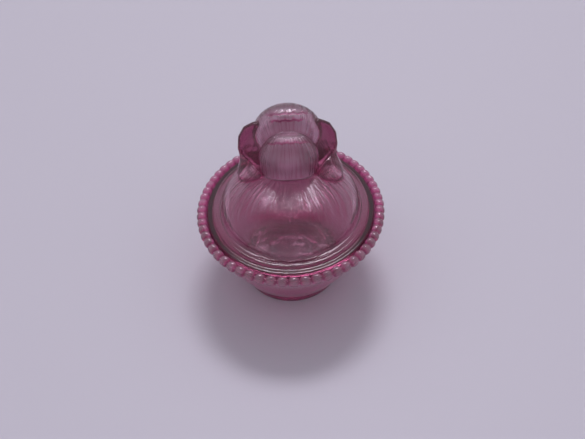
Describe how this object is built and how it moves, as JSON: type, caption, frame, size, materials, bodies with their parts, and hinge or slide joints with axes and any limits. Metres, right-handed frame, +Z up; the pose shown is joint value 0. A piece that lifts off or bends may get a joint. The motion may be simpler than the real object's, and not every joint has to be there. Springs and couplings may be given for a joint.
{
  "type": "covered candy dish",
  "caption": "Oval pressed-glass candy dish with a beaded rim and a lift-off lid shaped as a small elephant lying down.",
  "frame": {"origin": "middle of the oval foot, on the table", "axes": "+Z up; +Y the way the animal faces, along the long axis of the oval; +X to its right-hand side seen from behind"},
  "size_m": [0.14, 0.173, 0.1161],
  "materials": {
    "base_glass": "clear pressed glass in rose pink, gloss",
    "lid_glass": "clear pressed glass in rose pink with fine fur lines, gloss"
  },
  "bodies": {
    "base": {"base": "base_glass"},
    "lid": {"lid": "lid_glass"}
  },
  "joints": [
    {"name": "lid_lift", "type": "slide", "parent": "base", "child": "lid", "axis": [0, 0, 1], "range_m": [0, 0.08]}
  ]
}
